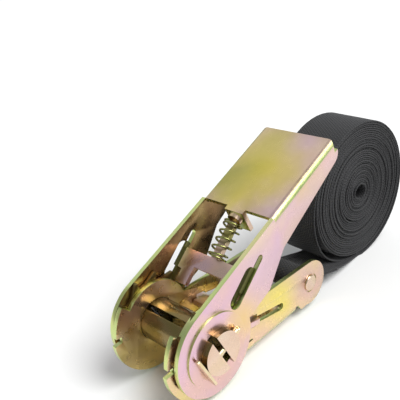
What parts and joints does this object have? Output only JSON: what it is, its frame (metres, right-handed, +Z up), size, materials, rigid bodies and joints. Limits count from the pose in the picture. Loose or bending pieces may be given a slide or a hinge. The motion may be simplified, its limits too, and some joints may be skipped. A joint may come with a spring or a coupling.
{
  "type": "ratchet strap",
  "caption": "Ratchet buckle of plated sheet steel, its handle part open, with one rolled webbing strap sewn round its bar.",
  "frame": {"origin": "centre of the bounding box in X and Y, on the surface that the strap stands on", "axes": "+X from the drum to the rolled webbing, +Z up; the drum, the bar and the roll turn about axes along or near Y"},
  "size_m": [0.1732, 0.046, 0.0757],
  "materials": {
    "plated_sheet": "yellow zinc plated sheet steel, iridescent, satin to bright",
    "plated_shaft": "yellow zinc plated drawn bar, satin",
    "plated_wire": "yellow zinc plated wire, bright",
    "webbing": "woven polyester webbing, black",
    "thread": "polyester sewing thread, black"
  },
  "bodies": {
    "frame": {"frame": "plated_sheet", "strap_bar": "plated_shaft", "bar_sleeve": "plated_shaft", "frame_pawl_spring": "plated_wire"},
    "webbing": {"webbing_loop": "webbing", "loop_stitching": "thread", "webbing_run": "webbing", "webbing_coil": "webbing"},
    "frame_pawl": {"frame_pawl": "plated_sheet"},
    "handle": {"handle": "plated_sheet", "handle_pawl_spring": "plated_wire"},
    "handle_pawl": {"handle_pawl": "plated_sheet"},
    "drum": {"drum_shaft_upper": "plated_shaft", "drum_shaft_lower": "plated_shaft", "ratchet_wheel_near": "plated_sheet", "ratchet_wheel_far": "plated_sheet", "split_pin_near": "plated_wire", "split_pin_far": "plated_wire"}
  },
  "joints": [
    {"name": "handle_swing", "type": "hinge", "parent": "frame", "child": "handle", "pos_m": [-0.06463, 0, 0.022], "axis": [0, -1, 0], "range_deg": [-7, 150]},
    {"name": "webbing_swing", "type": "hinge", "parent": "frame", "child": "webbing", "pos_m": [-0.00085, 0, 0.01368], "axis": [0, 1, 0], "range_deg": [0, 75]},
    {"name": "drum_turn", "type": "hinge", "parent": "handle", "child": "drum", "pos_m": [-0.06463, 0, 0.022], "axis": [0, -1, 0], "continuous": true},
    {"name": "handle_pawl_pull", "type": "slide", "parent": "handle", "child": "handle_pawl", "axis": [0.7627, 0, 0.6468], "range_m": [0, 0.0034], "stiffness_N_per_m": 600, "springref_m": -0.005, "deforming": ["handle_pawl_spring"]},
    {"name": "frame_pawl_pull", "type": "slide", "parent": "frame", "child": "frame_pawl", "axis": [0.9813, 0, -0.1925], "range_m": [0, 0.0025], "stiffness_N_per_m": 600, "springref_m": -0.005, "deforming": ["frame_pawl_spring"]}
  ]
}
